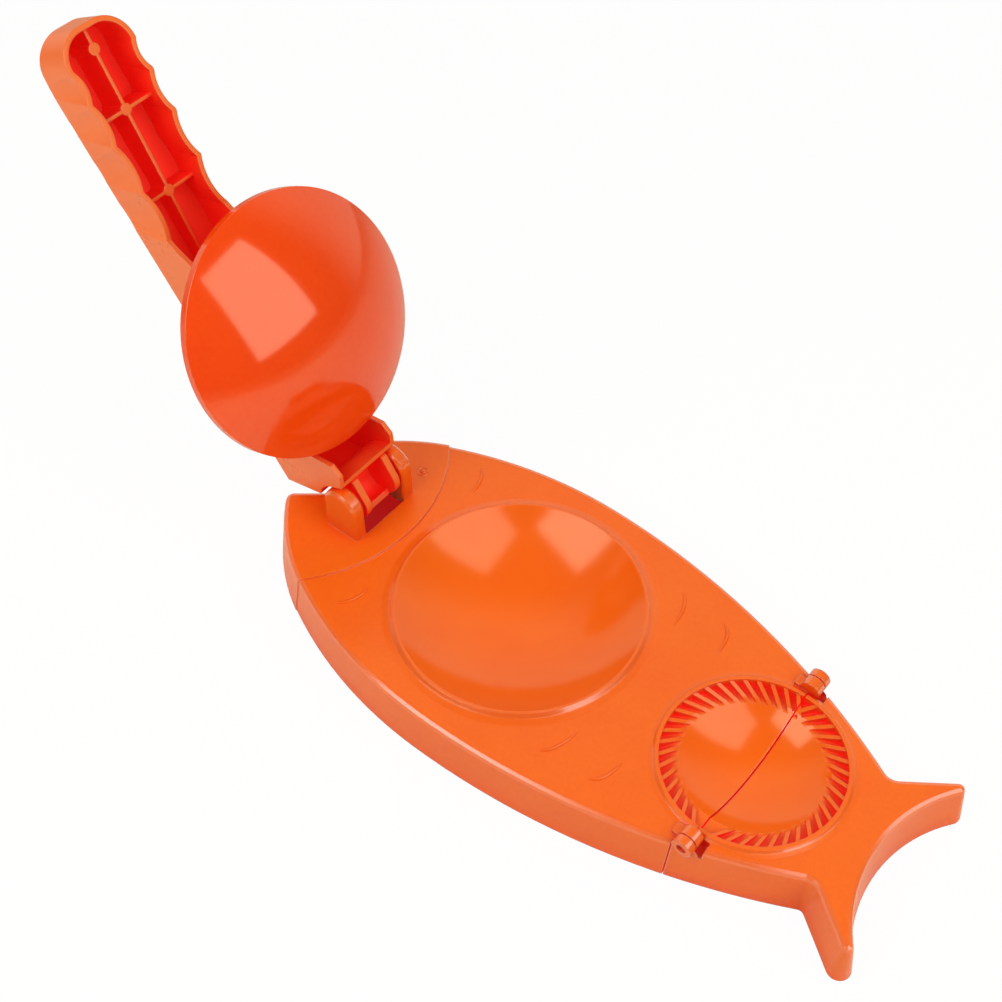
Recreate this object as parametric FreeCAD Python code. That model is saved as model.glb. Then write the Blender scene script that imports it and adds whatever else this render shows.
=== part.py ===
import FreeCAD, Part
import math
import os

# Hand press for dumplings, moulded in plastic and shaped like a fish lying on the table.
# Millimetres. The origin is on the table under the middle of the big bowl,
# +X runs from the head to the tail, +Y to the fish's left and +Z up.

Vec = FreeCAD.Vector
AXIS_X = Vec(1, 0, 0)
AXIS_Y = Vec(0, 1, 0)
AXIS_Z = Vec(0, 0, 1)
ORIGIN = Vec(0, 0, 0)

# One length serves every cut that has to run clear of what it cuts.
overrun = 10.0

# Flat floor of the round sides out of sight, as a share of their spread.
floor_share = 0.33

# Base: outline of the fish on the table, measured from the middle of the big bowl.
belly_half_width = 59.9
head_belly_radius = 165.0
tail_belly_radius = 297.0
snout_radius = 82.0
snout_start = 70.0
lip_reach = 104.0
mouth_reach = 86.0
tail_root_reach = 138.0
fin_flare_angle = 36.5
fork_reach = 149.9
fin_length = 21.0
fin_tip_round = 4.2
mouth_round = 4.0
lip_round = 5.2
tail_root_round = 2.4

# Base: section of the shell.
base_height = 18.0
base_wall = 2.2
base_skin = 2.2
wall_lean = 2.2
top_edge_round = 1.7
hollow_tip_round = 1.2

# Head plate, a little proud of the body and ending at the gill line.
head_rise = 0.7
head_grow = 0.3
gill_reach = 52.8
gill_radius = 62.0

# Big bowl that the dome presses into.
bowl_rim_radius = 45.0
bowl_rim_rise = 2.0
bowl_rim_width = 0.8
bowl_shoulder = 3.7
bowl_depth = 16.7
bowl_wall = 2.0
under_wall = 3.2

# Crimping mould, one half on the body and one on the tail.
mould_reach = 99.5
mould_margin = 11.2
mould_rim_rise = 1.2
mould_rim_width = 1.3
mould_shoulder = 2.6
crimp_band = 5.3
mould_lip_drop = 3.0
mould_land_drop = 0.8
mould_depth = 12.2
crimp_count = 21
crimp_width = 1.25
crimp_floor_drop = 1.2
crimp_lean = 33.0

# Tail hinge, across the middle of the mould.
seam_gap = 0.6
end_wall = 2.0
tail_axis_lift = 0.15
lug_inset = 8.4
inner_lug_width = 4.0
outer_lug_width = 3.2
lug_side_gap = 0.4
lug_radius = 3.7
tail_pin_radius = 1.6
tail_pin_length = 3.0
running_clearance = 0.05
lug_dimple_radius = 1.8
lug_dimple_depth = 1.1
pocket_length = 6.0
pocket_depth = 3.6

# Ears that carry the lever.
pivot_reach = 72.2
pivot_height = 29.8
ear_inner = 10.3
ear_thickness = 5.7
ear_radius = 7.9
ear_crown = 1.7
ear_bevel = 1.0
pivot_pin_radius = 3.0
pivot_pin_depth = 3.0

# Lever, drawn closed. Reaches run towards the tail and rises upwards, both from the pivot.
open_angle = 116.3
lever_half_width = 14.2
lever_wall = 1.8
back_wall = 2.2
heel_radius = 10.7
heel_drop = 6.3
foot_reach = 16.2
foot_drop = 8.6
toe_reach = 21.0
toe_drop = 6.6
saddle_start = 23.9
saddle_end = 90.0
saddle_rise = 2.6
neck_reach = 101.9
neck_rise = 18.0
grip_start = 111.2
grip_start_rise = 25.2
lever_reach = 184.2
grip_end_rise = 32.8
shoulder_angle = 57.0
back_corner_reach = 9.3
back_corner_rise = 28.2
back_kink_reach = 161.2
back_kink_rise = 50.0
back_end_rise = 48.2
back_bevel = 1.5
grip_corner_round = 11.0
scallop_depth = 2.0
scallop_shares = [0.294, 0.274, 0.242, 0.190]

# Ribs and bosses inside the grip.
rib_thickness = 1.2
rib_edge_start_rise = 32.0
rib_edge_end_rise = 35.2
boss_radius = 2.1
cross_rib_reaches = [123.2, 153.6]
end_boss_reach = 175.2

# Tongue of the lever, between the ears.
tongue_outer = 9.0
tongue_wall = 2.7
tongue_radius = 7.6
tongue_web = 2.2
tongue_web_end_angle = 190.0
thrust_gap = 0.3
thrust_radius = 5.2

# Dome and its post, which plugs into a socket of the lever.
dome_radius = 46.5
dome_lip_height = 3.0
dome_height = 16.5
dome_wall = 2.2
dome_bowl_gap = 2.1
socket_wall = 2.0
socket_drop = 5.0
post_clearance = 0.1
post_rise = 16.0
post_wall = 2.0


def belly_edge(reach):
    """Half width of the fish at a reach from its belly to the tail's root."""
    return belly_half_width - tail_belly_radius + math.sqrt(tail_belly_radius ** 2 - reach ** 2)


# Places that follow from the sizes above.
tail_axis_height = base_height + mould_rim_rise + tail_axis_lift
socket_radius = lever_half_width - lever_wall / 2
socket_seat = pivot_height + saddle_rise - socket_drop
inner_lug_start = belly_edge(mould_reach) - lug_inset
mould_rim_radius = belly_edge(mould_reach) - mould_margin
mould_lip_radius = mould_rim_radius - crimp_band

# The fork is the arc through its own deepest point that just meets the rounds of both fin tips.
flare = math.radians(fin_flare_angle)
fin_way = Vec(math.cos(flare), math.sin(flare), 0)
fin_in = Vec(fin_way.y, -fin_way.x, 0)
fin_root = Vec(tail_root_reach, belly_edge(tail_root_reach), 0)
fin_tip = fin_root + fin_in * fin_tip_round + fin_way * fin_length - Vec(fork_reach, 0, 0)
fork_radius = (fin_tip.dot(fin_tip) - fin_tip_round ** 2) / (2 * (fin_tip.x + fin_tip_round))


def unit(vector):
    return vector * (1 / vector.Length)


def spin(angle):
    """Unit vector in the X-Z plane, turned up from +X."""
    return Vec(math.cos(math.radians(angle)), 0, math.sin(math.radians(angle)))


def arc_about(centre, start, end):
    """The shorter arc from start to end about a centre."""
    middle = unit(unit(start - centre) + unit(end - centre))
    return Part.Arc(start, centre + middle * (start - centre).Length, end).toShape()


def line_meets_circle(point, direction, centre, radius, side):
    """Crossing of a line and a circle: the further one along the line for 1, the nearer for -1."""
    offset = point - centre
    along = offset.dot(direction)
    half_chord = math.sqrt(along ** 2 - offset.dot(offset) + radius ** 2)
    return point + direction * (side * half_chord - along)


def both_sides(shape):
    """A shape together with its mirror image across the fish's long axis."""
    return [shape, shape.mirror(ORIGIN, AXIS_Y)]


def box_between(low, high):
    size = high - low
    return Part.makeBox(size.x, size.y, size.z, low)


def turned(points):
    """Solid of revolution about +Z from a closed chain of points or arcs in the X-Z plane."""
    return Part.Face(Part.Wire(points)).revolve(ORIGIN, AXIS_Z, 360)


def chain(points):
    """Straight edges through a list of points."""
    return [Part.makeLine(a, b) for a, b in zip(points, points[1:])]


def fish_outline(inset, tip_round, height):
    """The fish seen from above, drawn inward by inset, with every corner rounded, as a wire."""
    head_centre = Vec(0, belly_half_width - head_belly_radius, 0)
    tail_centre = Vec(0, belly_half_width - tail_belly_radius, 0)
    cheek_y = head_centre.y + math.sqrt(head_belly_radius ** 2 - snout_start ** 2)
    cheek_out = unit(Vec(-snout_start, cheek_y, 0) - head_centre)
    snout_centre = head_centre + cheek_out * (head_belly_radius - snout_radius)
    cheek = head_centre + cheek_out * (head_belly_radius - inset)
    belly = Vec(0, belly_half_width - inset, 0)

    apex = Vec(-mouth_reach, 0, 0)
    lip_y = snout_centre.y + math.sqrt(snout_radius ** 2 - (lip_reach + snout_centre.x) ** 2)
    mouth_way = unit(Vec(-lip_reach, lip_y, 0) - apex)
    mouth_in = Vec(mouth_way.y, -mouth_way.x, 0)
    mouth = apex - Vec(mouth_round / mouth_in.x, 0, 0)
    mouth_middle = mouth + Vec(mouth_round + inset, 0, 0)
    mouth_end = mouth + mouth_in * (mouth_round + inset)
    lip_line = apex + mouth_in * lip_round
    lip = line_meets_circle(lip_line, mouth_way, snout_centre, snout_radius - lip_round, 1)
    lip_start = lip - mouth_in * (lip_round - inset)
    lip_end = lip + unit(lip - snout_centre) * (lip_round - inset)

    root_line = fin_root - fin_in * tail_root_round
    root = line_meets_circle(root_line, fin_way, tail_centre, tail_belly_radius + tail_root_round, 1)
    root_start = root + unit(tail_centre - root) * (tail_root_round + inset)
    root_end = root + fin_in * (tail_root_round + inset)
    fork_centre = Vec(fork_reach + fork_radius, 0, 0)
    tip_line = fin_root + fin_in * (inset + tip_round)
    tip = line_meets_circle(tip_line, fin_way, fork_centre, fork_radius + inset + tip_round, -1)
    tip_start = tip - fin_in * tip_round
    tip_end = tip + unit(fork_centre - tip) * tip_round

    side = [
        Part.makeLine(mouth_end, lip_start),
        arc_about(lip, lip_start, lip_end),
        arc_about(snout_centre, lip_end, cheek),
        arc_about(head_centre, cheek, belly),
        arc_about(tail_centre, belly, root_start),
        arc_about(root, root_start, root_end),
        Part.makeLine(root_end, tip_start),
        arc_about(tip, tip_start, tip_end),
    ]
    mirrored = [edge.mirror(ORIGIN, AXIS_Y) for edge in reversed(side)]
    fork = Part.Arc(tip_end, Vec(fork_reach - inset, 0, 0), Vec(tip_end.x, -tip_end.y, 0)).toShape()
    mouth_arc = Part.Arc(Vec(mouth_end.x, -mouth_end.y, 0), mouth_middle, mouth_end).toShape()
    wire = Part.Wire(side + [fork] + mirrored + [mouth_arc])
    wire.translate(AXIS_Z * height)
    return wire


def fish_block(grow, height):
    """Solid fish with leaning sides and a rounded top edge, made as rings from the table upwards."""
    rings = [fish_outline(-grow, fin_tip_round + grow, 0)]
    for turn in (0, 45, 90):
        roll = math.radians(turn)
        inset = wall_lean - grow + top_edge_round * (1 - math.cos(roll))
        level = height - top_edge_round * (1 - math.sin(roll))
        rings.append(fish_outline(inset, fin_tip_round - inset, level))
    return Part.makeLoft(rings, True, True)


def ball_cap(radius, centre, cap_radius, top):
    """Lower cap of a ball, trimmed to a round of cap_radius and carried up straight to a height."""
    ball = Part.makeSphere(radius)
    ball.rotate(ORIGIN, AXIS_X, 90)
    low = Vec(0, 0, centre.z - radius - overrun)
    return ball.translated(centre).common(Part.makeCylinder(cap_radius, top - low.z, low))


def sloped_cap(radius, centre, cap_radius, top):
    """Like ball_cap but with a flat floor and one slope, for the sides that lie out of sight."""
    spread = math.degrees(math.asin(cap_radius / radius))
    floor_edge = centre + spin(spread * floor_share - 90) * radius
    rim = centre + spin(spread - 90) * radius
    axis_foot = Vec(0, 0, floor_edge.z)
    return turned(chain([axis_foot, floor_edge, rim, Vec(cap_radius, 0, top), Vec(0, 0, top), axis_foot]))


def ball_through(rim_radius, rim_height, depth):
    """Radius and centre of the ball whose cap fills a round rim to a depth."""
    radius = (rim_radius ** 2 + depth ** 2) / (2 * depth)
    return radius, Vec(0, 0, rim_height - depth + radius)


def rim_ring(rim_edge, foot, under):
    """Disc with a raised rim, whose shoulder climbs in two slopes, the steeper one at the rim."""
    bend = (rim_edge * 2 + foot) / 3 - AXIS_Z * (rim_edge.z - foot.z) / 3
    axis_top = Vec(0, 0, rim_edge.z)
    axis_foot = Vec(0, 0, under)
    return turned(chain([axis_foot, Vec(foot.x, 0, under), foot, bend, rim_edge, axis_top, axis_foot]))


def bowl_solids():
    """The big bowl's body and the space inside it."""
    rim_height = base_height + bowl_rim_rise
    inside, centre = ball_through(bowl_rim_radius, rim_height, bowl_depth)
    tuck = base_height - base_skin / 2
    rim_edge = Vec(bowl_rim_radius + bowl_rim_width, 0, rim_height)
    foot = Vec(rim_edge.x + bowl_shoulder, 0, base_height)
    underside = sloped_cap(inside + under_wall, centre, bowl_rim_radius, rim_height)
    body = rim_ring(rim_edge, foot, tuck).fuse(underside)
    return body, ball_cap(inside, centre, bowl_rim_radius, rim_height + overrun)


def mould_solids():
    """The crimping mould's body, the space inside it and the pockets between its slanted ribs."""
    rim_height = base_height + mould_rim_rise
    lip = Vec(mould_lip_radius, 0, rim_height - mould_lip_drop)
    land = Vec(mould_rim_radius, 0, rim_height - mould_land_drop)
    inside, centre = ball_through(lip.x, lip.z, mould_depth - mould_lip_drop)
    pocket_floor = lip.z - crimp_floor_drop
    under = pocket_floor - bowl_wall
    rim_edge = Vec(mould_rim_radius + mould_rim_width, 0, rim_height)
    foot = Vec(rim_edge.x + mould_shoulder, 0, base_height)
    body = rim_ring(rim_edge, foot, under).fuse(sloped_cap(inside + under_wall, centre, lip.x, lip.z))
    land_top = land + AXIS_Z * overrun
    axis_foot = Vec(0, 0, lip.z)
    funnel = turned(chain([axis_foot, lip, land, land_top, Vec(0, 0, land_top.z), axis_foot]))
    space = funnel.fuse(ball_cap(inside, centre, lip.x, lip.z))
    inner = Vec(lip.x - mould_lip_drop, 0, pocket_floor)
    outer = Vec(land.x, 0, pocket_floor)
    wedge = turned(chain([inner, Vec(inner.x, 0, lip.z), lip, land, outer, inner]))
    pockets = wedge.cut(crimp_ribs(pocket_floor, land.z))
    place = Vec(mould_reach, 0, 0)
    return [solid.translated(place) for solid in (body, space, pockets)]


def crimp_ribs(foot, top):
    """Slanted ribs round the mould. The tail's ribs stand between the body's when it folds over."""
    pitch = 180 / crimp_count
    body_turns = [90 + pitch * (step + 0.5) for step in range(crimp_count)]
    tail_turns = [90 - pitch * step for step in range(1, crimp_count)]
    length = (mould_rim_radius - mould_lip_radius) / math.cos(math.radians(crimp_lean)) + 4 * crimp_width
    ribs = []
    for turns, lean in ((body_turns, crimp_lean), (tail_turns, -crimp_lean)):
        for turn in turns:
            rib = Part.makeBox(length, crimp_width, top - foot, Vec(-length, -crimp_width / 2, foot))
            rib.translate(Vec(crimp_width, 0, 0))
            rib.rotate(ORIGIN, AXIS_Z, lean)
            rib.translate(Vec(mould_rim_radius, 0, 0))
            rib.rotate(ORIGIN, AXIS_Z, turn)
            ribs.append(rib)
    return ribs


def ears():
    """Two upright ears with blind pivot holes in their inner faces. Returns the ears and the holes."""
    foot = base_height - base_skin / 2
    crown = Vec(-pivot_reach, ear_inner, pivot_height + ear_crown)
    left = crown - Vec(ear_radius, 0, 0)
    right = crown + Vec(ear_radius, 0, 0)
    left_foot = Vec(left.x, ear_inner, foot)
    right_foot = Vec(right.x, ear_inner, foot)
    outline = chain([left, left_foot, right_foot, right])
    outline.append(Part.Arc(right, crown + AXIS_Z * ear_radius, left).toShape())
    ear = Part.Face(Part.Wire(outline)).extrude(AXIS_Y * ear_thickness)
    rims = [edge for edge in ear.Edges if edge.BoundBox.YLength < ear_thickness / 2]
    ear = ear.makeChamfer(ear_bevel, [edge for edge in rims if edge.BoundBox.ZMax > base_height])
    mouth = Vec(-pivot_reach, ear_inner - overrun, pivot_height)
    depth = overrun + pivot_pin_depth + thrust_gap
    hole = Part.makeCylinder(pivot_pin_radius + running_clearance, depth, mouth, AXIS_Y)
    return both_sides(ear), both_sides(hole)


def body_shell(fish, base, bowl_space, mould_space, pockets):
    """Head and trunk of the fish: the big bowl, half the mould, the ears and the hinge's inner lugs."""
    seam = mould_reach - seam_gap / 2
    lug_end = inner_lug_start + inner_lug_width
    notch = mould_reach - lug_radius - lug_side_gap
    wide = belly_half_width + overrun
    low = -lip_reach - overrun
    region = box_between(Vec(low, -wide, -overrun), Vec(seam, wide, base_height + overrun))
    notch_box = box_between(Vec(notch, lug_end, -overrun), Vec(seam + overrun, wide, base_height + overrun))
    region = region.cut(both_sides(notch_box))
    wall = box_between(Vec(seam - end_wall, -lug_end, 0), Vec(seam, lug_end, base_height))
    side_wall = box_between(Vec(notch - end_wall, inner_lug_start, 0), Vec(notch, wide, base_height))
    walls = [fish.common(piece) for piece in [wall] + both_sides(side_wall)]
    lug_foot = Vec(notch - end_wall, inner_lug_start, 0)
    lug = box_between(lug_foot, Vec(seam, lug_end, tail_axis_height))
    barrel_start = Vec(mould_reach, inner_lug_start, tail_axis_height)
    barrel = Part.makeCylinder(lug_radius, inner_lug_width, barrel_start, AXIS_Y)
    hole_depth = tail_pin_length + lug_side_gap
    hole_mouth = Vec(mould_reach, lug_end + lug_side_gap - hole_depth, tail_axis_height)
    hole = Part.makeCylinder(tail_pin_radius + running_clearance, hole_depth, hole_mouth, AXIS_Y)
    ear_pair, ear_holes = ears()
    slot_high = Vec(ear_radius - pivot_reach, ear_inner, base_height + overrun)
    slot = box_between(Vec(-ear_radius - pivot_reach, -ear_inner, base_height - base_skin * 2), slot_high)
    shell = base.common(region).fuse(walls + both_sides(lug) + both_sides(barrel) + ear_pair)
    return shell.cut([bowl_space, mould_space, pockets, slot] + both_sides(hole) + ear_holes)


def tail_shell(fish, base, mould_space, pockets):
    """Tail of the fish: the other half of the mould and the hinge's outer lugs with their stub pins."""
    seam = mould_reach + seam_gap / 2
    pocket_start = inner_lug_start - lug_side_gap
    lug_start = inner_lug_start + inner_lug_width + lug_side_gap
    wrap = mould_reach - lug_radius
    wide = belly_half_width + overrun
    top = base_height + overrun
    far = fork_reach + fork_radius
    region = box_between(Vec(seam, -wide, -overrun), Vec(far, wide, top))
    wrap_box = box_between(Vec(wrap, lug_start, -overrun), Vec(seam + end_wall, wide, top))
    region = region.fuse(both_sides(wrap_box))
    wall = fish.common(box_between(Vec(seam, -wide, 0), Vec(seam + end_wall, wide, base_height)))
    lug_high = Vec(mould_reach + lug_radius, lug_start + outer_lug_width, tail_axis_height)
    lug = fish.common(box_between(Vec(wrap, lug_start, 0), lug_high))
    barrel_start = Vec(mould_reach, lug_start, tail_axis_height)
    barrel = Part.makeCylinder(lug_radius, outer_lug_width, barrel_start, AXIS_Y)
    dimple_start = barrel_start + AXIS_Y * (outer_lug_width - lug_dimple_depth)
    dimple = Part.makeCylinder(lug_dimple_radius, overrun, dimple_start, AXIS_Y)
    pin_start = Vec(mould_reach, lug_start - tail_pin_length, tail_axis_height)
    pin = Part.makeCylinder(tail_pin_radius, tail_pin_length + outer_lug_width / 2, pin_start, AXIS_Y)
    pocket_low = Vec(mould_reach, pocket_start, base_height - pocket_depth)
    pocket = box_between(pocket_low, Vec(mould_reach + pocket_length, lug_start, top))
    tray_low = Vec(seam, pocket_start - base_skin, pocket_low.z - base_skin)
    tray_high = Vec(mould_reach + pocket_length + base_skin, lug_start + base_skin, base_height)
    tray = fish.common(box_between(tray_low, tray_high))
    solids = [wall] + both_sides(lug) + both_sides(barrel) + both_sides(tray)
    shell = base.common(region).fuse(solids)
    shell = shell.cut([mould_space, pockets] + both_sides(pocket) + both_sides(dimple))
    return shell.fuse(both_sides(pin))


def lever_point(reach, rise):
    return Vec(reach - pivot_reach, 0, pivot_height + rise)


def lever_side(side_inset, back_inset, lower):
    """Side view of the closed lever as a thick slab, with the given chain as its lower edge."""
    pivot = lever_point(0, 0)
    heel = lever_point(heel_radius + side_inset, 0)
    shoulder = pivot + spin(shoulder_angle) * (heel_radius + side_inset)
    corner = lever_point(back_corner_reach + side_inset, back_corner_rise - back_inset)
    kink = lever_point(back_kink_reach, back_kink_rise - back_inset)
    end = lever_point(lever_reach, back_end_rise - back_inset)
    back_way = unit(kink - corner)
    back_down = Vec(back_way.z, 0, -back_way.x)
    chord = end - kink
    bend_radius = chord.dot(chord) / (2 * chord.dot(back_down))
    bend = arc_about(kink + back_down * bend_radius, kink, end)
    first = lower[0].Vertexes[0].Point
    last = lower[-1].Vertexes[-1].Point
    edges = [Part.makeLine(heel, first)] + lower + [Part.makeLine(last, end), bend]
    edges += chain([kink, corner, shoulder]) + [arc_about(pivot, shoulder, heel)]
    half = lever_half_width + overrun
    face = Part.Face(Part.Wire(edges))
    face.translate(AXIS_Y * -half)
    return face.extrude(AXIS_Y * half * 2)


def lever_plan(inset):
    """Plan view of the lever as a tall block with round corners at the grip end."""
    half = lever_half_width - inset
    corner = grip_corner_round - inset
    start = -pivot_reach - overrun
    end = lever_reach - pivot_reach - inset
    foot = pivot_height - foot_drop - overrun * 2
    turn = Vec(end - corner, half - corner, foot)
    side_end = turn + AXIS_Y * corner
    tip = turn + AXIS_X * corner
    side = [Part.makeLine(Vec(start, half, foot), side_end), arc_about(turn, side_end, tip)]
    mirrored = [edge.mirror(ORIGIN, AXIS_Y) for edge in reversed(side)]
    across = [Part.makeLine(tip, Vec(tip.x, -tip.y, foot))]
    edges = side + across + mirrored + chain([Vec(start, -half, foot), Vec(start, half, foot)])
    return Part.Face(Part.Wire(edges)).extrude(AXIS_Z * (back_kink_rise + foot_drop + overrun * 3))


def scallop_cutters(extra):
    """Slanted rods that hollow the finger scallops, deepest at the rim and fading towards the back."""
    rim = pivot_height + grip_start_rise
    fade = back_kink_rise - grip_start_rise
    way = unit(Vec(0, scallop_depth, fade))
    run = lever_reach - grip_corner_round - grip_start
    start = grip_start - pivot_reach
    cutters = []
    for share in scallop_shares:
        width = share * run
        radius = (width ** 2 / 4 + scallop_depth ** 2) / (2 * scallop_depth)
        middle = Vec(start + width / 2, lever_half_width - scallop_depth + radius, rim)
        rod = Part.makeCylinder(radius + extra, fade * 3, middle - way * fade, way)
        cutters += both_sides(rod)
        start += width
    return cutters


def lever_ribs(solid):
    """Long rib, cross ribs and round bosses that stiffen the grip, standing on its back wall."""
    top = pivot_height + back_kink_rise + overrun
    start = socket_radius - socket_wall / 2
    run = lever_reach - pivot_reach - start

    def edge_height(reach):
        share = (reach - pivot_reach - start) / run
        return pivot_height + rib_edge_start_rise + share * (rib_edge_end_rise - rib_edge_start_rise)

    near = Vec(start, -rib_thickness / 2, edge_height(pivot_reach + start))
    far = Vec(start + run, -rib_thickness / 2, edge_height(lever_reach))
    corners = [near, far, Vec(far.x, far.y, top), Vec(near.x, near.y, top), near]
    ribs = [Part.Face(Part.Wire(chain(corners))).extrude(AXIS_Y * rib_thickness)]
    for reach in cross_rib_reaches:
        low = Vec(reach - pivot_reach - rib_thickness / 2, -lever_half_width, edge_height(reach))
        ribs.append(box_between(low, Vec(low.x + rib_thickness, lever_half_width, top)))
    for reach in cross_rib_reaches + [end_boss_reach]:
        foot = Vec(reach - pivot_reach, 0, edge_height(reach))
        ribs.append(Part.makeCylinder(boss_radius, top - foot.z, foot))
    return [rib.common(solid) for rib in ribs]


def tongue():
    """Two hinge plates with a web round their end, thrust faces and the stub pins of the pivot."""
    pivot = lever_point(0, 0)
    bury = heel_radius + lever_wall / 2
    inner = tongue_outer - tongue_wall
    up = AXIS_Z * tongue_radius
    plate = chain([pivot + up, pivot + up + Vec(bury, 0, 0), lever_point(bury, -heel_drop), pivot - up])
    plate.append(Part.Arc(pivot - up, pivot - Vec(tongue_radius, 0, 0), pivot + up).toShape())
    plate = Part.Face(Part.Wire(plate))
    plate.translate(AXIS_Y * inner)
    plate = plate.extrude(AXIS_Y * tongue_wall)
    web_low = pivot + up - AXIS_Z * tongue_web - AXIS_Y * tongue_outer
    web = box_between(web_low, pivot + up + AXIS_Y * tongue_outer + Vec(bury, 0, 0))
    strip = chain([web_low, web_low + AXIS_Z * tongue_web, pivot + up + AXIS_Y * tongue_outer,
                   web_low + AXIS_Y * tongue_outer * 2, web_low])
    bend = Part.Face(Part.Wire(strip)).revolve(pivot, -AXIS_Y, tongue_web_end_angle - 90)
    reach = Part.makeCylinder(bury, tongue_outer * 2, pivot - AXIS_Y * tongue_outer, AXIS_Y)
    plates = [piece.common(reach) for piece in both_sides(plate) + [web]]
    thrust_length = ear_inner - thrust_gap - inner
    thrust = Part.makeCylinder(thrust_radius, thrust_length, pivot + AXIS_Y * inner, AXIS_Y)
    pin_length = ear_inner + pivot_pin_depth - inner
    pin = Part.makeCylinder(pivot_pin_radius, pin_length, pivot + AXIS_Y * inner, AXIS_Y)
    return plates + [bend] + both_sides(thrust) + both_sides(pin)


def press_lever():
    """Hollow lever, open underneath: heel at the hinge, socket over the dome, ribbed grip."""
    lower = chain([lever_point(heel_radius, -heel_drop), lever_point(foot_reach, -foot_drop),
                   lever_point(toe_reach, -toe_drop), lever_point(saddle_start, saddle_rise),
                   lever_point(saddle_end, saddle_rise)])
    grip = lever_point(grip_start, grip_start_rise)
    neck = Part.Arc(lever_point(saddle_end, saddle_rise), lever_point(neck_reach, neck_rise), grip)
    lower.append(neck.toShape())
    lower += chain([grip, lever_point(lever_reach, grip_end_rise)])
    deep = -foot_drop - overrun
    below = chain([lever_point(heel_radius, deep), lever_point(lever_reach, deep)])
    below_inside = chain([lever_point(heel_radius + lever_wall, deep), lever_point(lever_reach, deep)])
    outside = lever_side(0, 0, lower).common(lever_plan(0))
    backs = [face for face in outside.Faces if face.normalAt(0, 0).z > 0.7]
    back_edges = [edge for face in backs for edge in face.Edges if edge.BoundBox.YLength < lever_wall]
    outside = outside.makeChamfer(back_bevel, back_edges)
    outside = outside.cut(scallop_cutters(0))
    cavity = lever_side(lever_wall, back_wall, below_inside).common(lever_plan(lever_wall))
    cavity = cavity.cut(scallop_cutters(lever_wall))
    seat = Vec(0, 0, socket_seat)
    tall = back_kink_rise
    tube = Part.makeCylinder(socket_radius, tall, seat)
    tube = tube.cut(Part.makeCylinder(socket_radius - socket_wall, tall, seat))
    tube = tube.common(lever_side(0, 0, below))
    return outside.cut(cavity).fuse(lever_ribs(outside) + tongue() + [tube])


def press_dome():
    """Hollow dome with a lip, and a stepped post on its back that plugs into the lever's socket."""
    bottom = base_height + bowl_rim_rise - bowl_depth + dome_bowl_gap
    back = bottom + dome_height + dome_lip_height
    outside, centre = ball_through(dome_radius, bottom + dome_height, dome_height)
    shell = ball_cap(outside, centre, dome_radius, back)
    shell = shell.cut(sloped_cap(outside - dome_wall, centre, dome_radius - dome_wall, back + overrun))
    foot = Vec(0, 0, bottom + dome_wall)
    post_radius = socket_radius - socket_wall - post_clearance
    post_top = socket_seat + post_rise
    step = Part.makeCylinder(socket_radius, socket_seat - foot.z, foot)
    post = step.fuse(Part.makeCylinder(post_radius, post_top - foot.z, foot))
    core = Part.makeCylinder(post_radius - post_wall, post_top + overrun, foot)
    return shell.fuse(post.cut(core))


gill = Part.makeCylinder(gill_radius, base_height + overrun, Vec(-gill_reach - gill_radius, 0, 0))
fish = fish_block(0, base_height).fuse(fish_block(head_grow, base_height + head_rise).common(gill))
hollow_outline = fish_outline(base_wall + wall_lean, hollow_tip_round, 0)
hollow = Part.Face(hollow_outline).extrude(AXIS_Z * (base_height - base_skin))
bowl_body, bowl_space = bowl_solids()
mould_body, mould_space, pockets = mould_solids()
base = fish.cut(hollow).fuse([bowl_body, mould_body])

nodes = {
    "body_shell": body_shell(fish, base, bowl_space, mould_space, pockets),
    "tail_shell": tail_shell(fish, base, mould_space, pockets),
    "press_lever": press_lever(),
    "press_dome": press_dome(),
}
for name in ("press_lever", "press_dome"):
    nodes[name].rotate(lever_point(0, 0), AXIS_Y, -open_angle)

os.makedirs("parts", exist_ok=True)
for name, shape in nodes.items():
    shape = shape.removeSplitter()
    print(name, shape.ShapeType, len(shape.Solids), "valid" if shape.isValid() else "NOT VALID",
          round(shape.Volume / 1000, 2), "cm3")
    shape.exportStep(f"parts/{name}.step")
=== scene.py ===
import math

import bmesh
import bpy
from mathutils import Matrix, Vector


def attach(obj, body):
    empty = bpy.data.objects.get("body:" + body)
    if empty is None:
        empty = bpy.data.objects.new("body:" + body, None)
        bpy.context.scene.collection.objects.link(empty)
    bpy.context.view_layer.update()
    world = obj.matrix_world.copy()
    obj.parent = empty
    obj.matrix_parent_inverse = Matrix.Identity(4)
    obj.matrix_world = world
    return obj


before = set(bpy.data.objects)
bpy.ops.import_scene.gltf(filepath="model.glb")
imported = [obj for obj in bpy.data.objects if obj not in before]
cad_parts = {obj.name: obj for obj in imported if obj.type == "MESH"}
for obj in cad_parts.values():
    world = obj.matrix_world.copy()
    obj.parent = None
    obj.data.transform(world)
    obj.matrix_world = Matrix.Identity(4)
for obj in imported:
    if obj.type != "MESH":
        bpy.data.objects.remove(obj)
bpy.context.view_layer.update()


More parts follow.
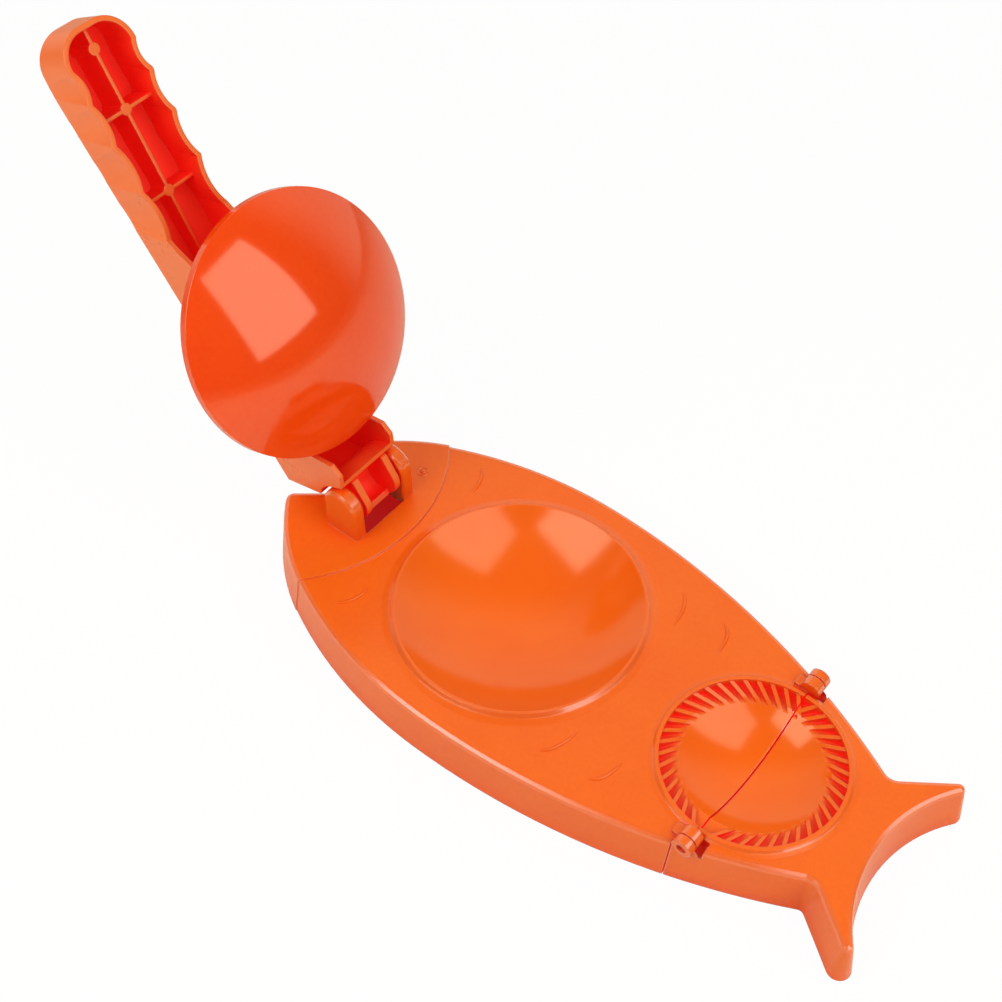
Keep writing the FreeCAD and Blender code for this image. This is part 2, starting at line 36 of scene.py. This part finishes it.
# Body shell: head and trunk of the fish with the big bowl and half of the crimping mould.
# One injection moulding in orange plastic. The mould tool leaves the flat top satin and
# very finely grained, and the bowls and the rounded lips polished.
class Shade:
    """A value in a node tree. Sums and products of values add their own nodes."""

    def __init__(self, tree, socket=None):
        self.tree = tree
        self.socket = socket

    def node(self, kind, settings, values, out=0):
        """Add a node, first its settings, then its sockets' values or links, and give one output."""
        made = self.tree.nodes.new(kind)
        for name, setting in settings.items():
            setattr(made, name, setting)
        for name, value in values.items():
            if isinstance(value, Shade):
                value.feed(made, name)
            else:
                made.inputs[name].default_value = value
        return Shade(self.tree, made.outputs[out])

    def feed(self, node, socket):
        """Link the value to a socket of a node."""
        self.tree.links.new(self.socket, node.inputs[socket])

    def math(self, operation, first, second):
        return self.node("ShaderNodeMath", {"operation": operation}, {0: first, 1: second})

    def __add__(self, other):
        return self.math("ADD", self, other)

    def __radd__(self, other):
        return self.math("ADD", other, self)

    def __sub__(self, other):
        return self.math("SUBTRACT", self, other)

    def __rsub__(self, other):
        return self.math("SUBTRACT", other, self)

    def __mul__(self, other):
        return self.math("MULTIPLY", self, other)

    def __rmul__(self, other):
        return self.math("MULTIPLY", other, self)

    def step(self, low, high):
        """0 below low and 1 above high, with a soft change between them."""
        return self.node("ShaderNodeMapRange", {"interpolation_type": "SMOOTHSTEP"},
                         {"Value": self, "From Min": low, "From Max": high})

    def blend(self, first, second):
        """The first colour where the value is 0, the second where it is 1."""
        return self.node("ShaderNodeMix", {"data_type": "RGBA"},
                         {"Factor": self, 6: first, 7: second}, 2)


def round_area(place, centre, radius):
    """1 inside an upright round of the given radius about a point of the plan, 0 outside."""
    soft_edge = 0.0002
    plan = place.node("ShaderNodeVectorMath", {"operation": "MULTIPLY"}, {0: place, 1: (1, 1, 0)})
    reach = place.node("ShaderNodeVectorMath", {"operation": "DISTANCE"}, {0: plan, 1: centre}, "Value")
    return 1 - reach.step(radius - soft_edge, radius + soft_edge)


def orange_plastic(name, colour, deep, polish, grain, edge, hollow, sheen, polished_rounds=(), crimp=None):
    """Moulded orange plastic: satin grain outside the polished rounds, glossy edges, painted red shade in
    hollows.

    Polish and grain are the roughness inside and outside the polished rounds, and edge is the
    rounding of edges. A hollow is found by how much of its surroundings within reach is open: it gets
    a painted red shade below closed, none above open, and a painted red glow below glow_open.
    """
    material = bpy.data.materials.new(name)
    material.use_nodes = True
    tree = material.node_tree
    surface = tree.nodes["Principled BSDF"]
    start = Shade(tree)
    place = start.node("ShaderNodeTexCoord", {}, {}, "Object")

    satin = 1
    for centre, radius in polished_rounds:
        satin = satin * (1 - round_area(place, centre, radius))

    def noise(scale, detail, roughness):
        return start.node("ShaderNodeTexNoise", {}, {
            "Vector": place, "Scale": scale, "Detail": detail, "Roughness": roughness})

    clouds = noise(scale=38, detail=3, roughness=0.55)
    specks = noise(scale=620, detail=2, roughness=0.6)
    grains = noise(scale=1900, detail=2, roughness=0.5)
    cloud_share, speck_share = 0.55, 0.45
    mottle = clouds.step(0.35, 0.7) * cloud_share + specks.step(0.3, 0.7) * speck_share * satin
    tint = mottle.blend(colour, deep)

    open_share, glow_open = hollow["open"], hollow["glow_open"]
    if crimp:
        inside = round_area(place, crimp["centre"], crimp["inner"])
        ring = round_area(place, crimp["centre"], crimp["outer"]) - inside
        ring_and_hinge = round_area(place, crimp["centre"], crimp["hinge_outer"]) - inside
        edge = edge - ring * (edge - crimp["edge"])
        glow_open = glow_open + ring * (crimp["glow_open"] - glow_open)
        open_share = open_share + ring_and_hinge * (crimp["open"] - open_share)
    sky = start.node("ShaderNodeAmbientOcclusion", {"samples": 12}, {"Distance": hollow["reach"]}, "AO")
    # Painted shade: creases, where little of the surroundings is open, are tinted towards a deeper red.
    crease_shade_red, crease_shade_share = (0.880, 0.050, 0.004, 1), 0.5
    crease_shade = (1 - sky.step(0.4, 0.95)) * crease_shade_share
    # Painted shade: closed-in hollows are coloured a strong red for their shade and the light through the
    # plastic.
    recess_shade_red = (hollow["red"], 0.010, 0.003, 1)
    recess_shade = 1 - sky.step(hollow["closed"], open_share)
    tint = recess_shade.blend(crease_shade.blend(tint, crease_shade_red), recess_shade_red)
    tint.feed(surface, "Base Color")

    # Painted light: the deepest hollows give off a red glow in place of the light through the thin plastic.
    no_light, red_light = (0, 0, 0, 1), (1, 0.014, 0.008, 1)
    glow = (1 - sky.step(0, glow_open)) * hollow["glow"]
    glow.blend(no_light, red_light).feed(surface, "Emission Color")
    surface.inputs["Emission Strength"].default_value = 1

    speck_rough, cloud_rough, recess_rough = 0.02, 0.05, 0.3
    rough = (polish + (grain - polish) * satin + (specks - 0.5) * satin * speck_rough
             + (clouds - 0.5) * cloud_rough + recess_shade * recess_rough)
    rough.feed(surface, "Roughness")

    soft = start.node("ShaderNodeBevel", {"samples": 8}, {"Radius": edge})
    cloud_height = 0.15
    bump = start.node("ShaderNodeBump", {}, {
        "Height": grains * satin + clouds * cloud_height, "Strength": 0.06, "Distance": 0.00006,
        "Normal": soft})
    bump.feed(surface, "Normal")

    face = start.node("ShaderNodeNewGeometry", {}, {}, "True Normal")
    even = start.node("ShaderNodeVectorMath", {"operation": "DOT_PRODUCT"}, {0: soft, 1: face}, "Value")
    rounded = 1 - even.step(0.90, 0.998)
    if crimp:
        facing = start.node("ShaderNodeTexCoord", {}, {}, "Normal")
        upward = start.node("ShaderNodeSeparateXYZ", {}, {0: facing}, "Z")
        lip = upward.step(0.2, 0.45) * (1 - upward.step(0.92, 0.98)) * satin * (1 - ring)
        rounded = rounded.math("MAXIMUM", rounded, lip)
    rounded.feed(surface, "Coat Weight")
    surface.inputs["Coat Roughness"].default_value = 0.15
    surface.inputs["Coat IOR"].default_value = 1.75
    surface.inputs["IOR"].default_value = 1.46
    surface.inputs["Specular IOR Level"].default_value = sheen
    surface.inputs["Specular Tint"].default_value = (1.0, 0.95, 0.64, 1)
    return material


def dress(node, material):
    """Give a solid of the frame its material."""
    node.data.materials.clear()
    node.data.materials.append(material)


orange, deep_orange = (0.870, 0.130, 0.006, 1), (0.840, 0.110, 0.005, 1)
shell_polish, shell_grain, shell_edge, shell_sheen = 0.15, 0.25, 0.0010, 0.6
# Reach and strength of the painted red shade and the painted red glow in the shells' hollows.
shell_hollow = {"reach": 0.012, "closed": 0.10, "open": 0.48, "red": 0.66, "glow_open": 0.14, "glow": 0.36}
polished_bowl = ((0, 0, 0), 0.0452)
mould_centre = (0.0995, 0, 0)
polished_mould = (mould_centre, 0.0263)
# In the crimp ring the painted red shade and glow reach further, so that its pockets look red.
crimp_ring = {"centre": mould_centre, "inner": 0.0235, "outer": 0.0332, "hinge_outer": 0.0440,
              "edge": 0.0003, "open": 0.80, "glow_open": 0.55}
dress(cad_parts["body_shell"], orange_plastic(
    "body_orange", orange, deep_orange, shell_polish, shell_grain, shell_edge, shell_hollow, shell_sheen,
    [polished_bowl, polished_mould], crimp_ring))


# Scale marks and eye: thin ridges and a small button that stand out of the flat top.
# They belong to the same moulding as the body, cut into the mould tool with a small cutter.
def smooth_piece(name, mesh):
    """Turn a finished mesh into an object of the scene with smooth faces."""
    bmesh.ops.recalc_face_normals(mesh, faces=mesh.faces)
    data = bpy.data.meshes.new(name)
    mesh.to_mesh(data)
    mesh.free()
    for face in data.polygons:
        face.use_smooth = True
    piece = bpy.data.objects.new(name, data)
    bpy.context.scene.collection.objects.link(piece)
    return piece


def scale_mark(name, arc, width, rise, level):
    """A thin ridge with pointed ends along the arc through three points of the plan."""
    steps, sides, blunt_share = 18, 6, 0.05
    first, middle, last = [Vector((x, y, 0)) for x, y in arc]
    half = (last - first) / 2
    bow = middle - (first + last) / 2
    mesh = bmesh.new()
    rows = []
    for step in range(steps + 1):
        along = step / steps * 2 - 1
        point = (first + last) / 2 + half * along + bow * (1 - along ** 2)
        way = (half - bow * 2 * along).normalized()
        out = Vector((way.y, -way.x, 0))
        swell = math.sqrt(max(0, 1 - along ** 2)) * (1 - blunt_share) + blunt_share
        row = []
        for side in range(sides + 1):
            turn = math.pi * side / sides
            lift = Vector((0, 0, level + math.sin(turn) * rise * swell))
            row.append(mesh.verts.new(point + out * math.cos(turn) * width / 2 * swell + lift))
        rows.append(row)
    for near, far in zip(rows, rows[1:]):
        for side in range(sides):
            mesh.faces.new((near[side], near[side + 1], far[side + 1], far[side]))
    return smooth_piece(name, mesh)


def turned_piece(name, profile, place):
    """A small round piece from its profile of radii and heights, turned about the vertical."""
    sides = 32
    mesh = bmesh.new()
    rows = []
    for radius, height in profile:
        turns = [math.tau * side / sides for side in range(sides)] if radius else [0]
        row = [Vector((radius * math.cos(turn), radius * math.sin(turn), height)) for turn in turns]
        rows.append([mesh.verts.new(place + point) for point in row])
    for low, high in zip(rows, rows[1:]):
        for side in range(sides):
            after = (side + 1) % sides
            upper = [high[after], high[side]] if len(high) > 1 else [high[0]]
            mesh.faces.new([low[side], low[after]] + upper)
    return smooth_piece(name, mesh)


mark_polish, mark_grain, mark_edge, mark_sheen = 0.18, 0.2, 0.0003, 0.5
mark_hollow = {"reach": 0.0004, "closed": 0, "open": 0.1, "red": 0.66, "glow_open": 0.14, "glow": 0}
mark_orange = orange_plastic("mark_orange", orange, deep_orange, mark_polish, mark_grain, mark_edge,
                             mark_hollow, mark_sheen)
mark_width, mark_rise, mark_level = 0.0012, 0.0006, 0.018
mark_arcs = [
    [(-0.0523, 0.0410), (-0.0482, 0.0355), (-0.0474, 0.0284)],
    [(0.0415, 0.0420), (0.0455, 0.0370), (0.0475, 0.0280)],
    [(0.0605, 0.0400), (0.0647, 0.0360), (0.0660, 0.0277)],
]
for number, arc in enumerate(mark_arcs):
    for side, sign in (("left", 1), ("right", -1)):
        side_arc = [(x, y * sign) for x, y in arc]
        mark = scale_mark(f"scale_mark_{number + 1}_{side}", side_arc, mark_width, mark_rise, mark_level)
        mark.data.materials.append(mark_orange)
        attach(mark, "base")

eye_place = Vector((-0.0679, 0.0251, 0.0187))
eye_profile = [(0.0011, 0), (0.0010, 0.0004), (0.0006, 0.0006), (0, 0.00065)]
ring_profile = [(0.0023, 0), (0.0021, 0.0003), (0.0019, 0.0003), (0.0017, 0)]
for name, profile in (("eye_button", eye_profile), ("eye_ring", ring_profile)):
    eye = turned_piece(name, profile, eye_place)
    eye.data.materials.append(mark_orange)
    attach(eye, "base")


# Tail shell: the tail with the other half of the crimping mould, one moulding like the body.
# Its outer lugs snap over the body's inner lugs, so that the tail folds over the mould.
dress(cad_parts["tail_shell"], orange_plastic(
    "tail_orange", orange, deep_orange, shell_polish, shell_grain, shell_edge, shell_hollow, shell_sheen,
    [polished_mould], crimp_ring))


# Press lever: hollow moulding of orange plastic, open underneath, with ribs in its grip.
# It snaps between the body's ears. Its walls are smooth and half glossy, and so thin that
# light comes through into the grip, which is painted in as a red shade and a red glow.
# Painted light: the lever's orange is a paler, bluer copy of the body's, for its sheen and brighter light.
lever_lit_orange, lever_lit_deep = (0.900, 0.165, 0.030, 1), (0.880, 0.145, 0.025, 1)
lever_polish, lever_grain, lever_edge, lever_sheen = 0.24, 0.28, 0.0007, 0.6
lever_hollow = {"reach": 0.040, "closed": 0.25, "open": 0.90, "red": 0.90, "glow_open": 0.90, "glow": 0.08}
dress(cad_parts["press_lever"], orange_plastic(
    "lever_lit_orange", lever_lit_orange, lever_lit_deep, lever_polish, lever_grain, lever_edge, lever_hollow,
    lever_sheen))


# Press dome: polished cap of orange plastic that pushes the dough into the bowl. Its orange is a
# darker, redder copy of the body's, painted shade for the dimmer light on it.
# It is moulded with a post on its back that plugs into the lever.
dome_shaded_orange, dome_shaded_deep = (0.850, 0.062, 0.003, 1), (0.825, 0.052, 0.003, 1)
dome_polish, dome_grain, dome_edge, dome_sheen = 0.08, 0.10, 0.0005, 0.9
dome_hollow = {"reach": 0.012, "closed": 0.10, "open": 0.48, "red": 0.66, "glow_open": 0.14, "glow": 0}
dress(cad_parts["press_dome"], orange_plastic(
    "dome_shaded_orange", dome_shaded_orange, dome_shaded_deep, dome_polish, dome_grain, dome_edge, dome_hollow, dome_sheen))


# Table: plain white sheet of paper that keeps a soft shadow and looks nearly pure white to the
# camera. Under the body it is painted dark red, a painted shade that stands in for the light that
# comes through the plastic, and it shows in the opening between the ears.
def lens_area(place, offset, radius):
    """1 where two rounds on either side of the middle line overlap, as in the plan of the fish."""
    return round_area(place, (0, -offset, 0), radius) * round_area(place, (0, offset, 0), radius)


floor_half = 3.0
floor_mesh = bpy.data.meshes.new("table")
floor_mesh.from_pydata([(-floor_half, -floor_half, 0), (floor_half, -floor_half, 0),
                        (floor_half, floor_half, 0), (-floor_half, floor_half, 0)], [], [(0, 1, 2, 3)])
table = bpy.data.objects.new("table", floor_mesh)
bpy.context.scene.collection.objects.link(table)
paper = bpy.data.materials.new("white_paper")
paper.use_nodes = True
paper.node_tree.nodes.remove(paper.node_tree.nodes["Principled BSDF"])
sheet = Shade(paper.node_tree)
spot = sheet.node("ShaderNodeTexCoord", {}, {}, "Object")
along = sheet.node("ShaderNodeSeparateXYZ", {}, {0: spot}, "X")
snout, trunk_start, tail_hinge = (-0.084, -0.082), (0.01, 0.02), (0.0980, 0.0988)
head_part = lens_area(spot, offset=0.105, radius=0.160) * along.step(*snout)
trunk_part = lens_area(spot, offset=0.237, radius=0.292) * along.step(*trunk_start)
under_body_shade = head_part.math("MAXIMUM", head_part, trunk_part) * (1 - along.step(*tail_hinge))
# Painted shade: under the body the floor gives off dark red for the camera instead of white.
paper_white, red_light = (1, 1, 1, 1), (0.42, 0.006, 0.006, 1)
glow = sheet.node("ShaderNodeEmission", {}, {"Color": under_body_shade.blend(paper_white, red_light), "Strength": 1})
diffuse = sheet.node("ShaderNodeBsdfDiffuse", {}, {"Color": (0.90, 0.87, 0.76, 1)})
seen = sheet.node("ShaderNodeLightPath", {}, {}, "Is Camera Ray")
glow_share = 0.96
mixed = sheet.node("ShaderNodeMixShader", {}, {"Fac": seen * glow_share, 1: diffuse, 2: glow})
mixed.feed(paper.node_tree.nodes["Material Output"], "Surface")
floor_mesh.materials.append(paper)


# Room: a bright, slightly warm backdrop behind the object and a dim room round the camera.
# The camera itself sees plain white where the floor ends.
room = bpy.data.worlds.new("room")
bpy.context.scene.world = room
room.use_nodes = True
background = room.node_tree.nodes["Background"]
air = Shade(room.node_tree)
look = air.node("ShaderNodeTexCoord", {}, {}, "Generated")
away_from_camera = (-0.616, 0.788, 0)
behind = air.node("ShaderNodeVectorMath", {"operation": "DOT_PRODUCT"},
                  {0: look, 1: away_from_camera}, "Value")
camera_ray = air.node("ShaderNodeLightPath", {}, {}, "Is Camera Ray")
backdrop_light, room_light = 0.8, 0.13
wall = behind.step(0.1, 0.6) * backdrop_light + room_light
strength = camera_ray + (1 - camera_ray) * wall
strength.feed(background, "Strength")
warm_white, plain_white = (1, 0.96, 0.82, 1), (1, 1, 1, 1)
camera_ray.blend(warm_white, plain_white).feed(background, "Color")


# Lamps: two soft boxes, one on either side of the camera, as their reflections show.
# Each is a rectangle given by the middles of its lower and upper edge, and faces the press.
def soft_box(name, foot, top, width, power):
    press_middle = Vector((-0.09, 0, 0.09))
    light = bpy.data.lights.new(name, "AREA")
    light.shape = "RECTANGLE"
    light.size = width
    light.size_y = (top - foot).length
    light.energy = power
    lamp = bpy.data.objects.new(name, light)
    middle = (foot + top) / 2
    rise = (top - foot).normalized()
    away = middle - press_middle
    away = (away - rise * away.dot(rise)).normalized()
    turn = Matrix((rise.cross(away), rise, away)).transposed()
    lamp.matrix_world = Matrix.Translation(middle) @ turn.to_4x4()
    bpy.context.scene.collection.objects.link(lamp)


soft_box("tail_side_box", Vector((0.781, 0.070, 0.284)), Vector((0.347, -0.057, 1.240)),
         width=0.684, power=5.9)
soft_box("head_side_box", Vector((-0.277, -0.792, 0.504)), Vector((-0.142, -0.375, 0.913)),
         width=0.65, power=4.8)


# Camera: at the photograph's viewing angle, which was solved on the rims of the bowl and the
# mould and on the outline of the fish.
tilt_down, turn_left = math.radians(50.85), math.radians(39.32)
lens = bpy.data.cameras.new("camera")
lens.lens = 55.80
lens.sensor_width = 36
camera = bpy.data.objects.new("camera", lens)
camera.location = (0.1986, -0.2532, 0.4728)
camera.rotation_euler = (math.radians(90) - tilt_down, 0, turn_left)
bpy.context.scene.collection.objects.link(camera)
bpy.context.scene.camera = camera
bpy.context.scene.view_settings.view_transform = "Standard"

bpy.context.view_layer.update()
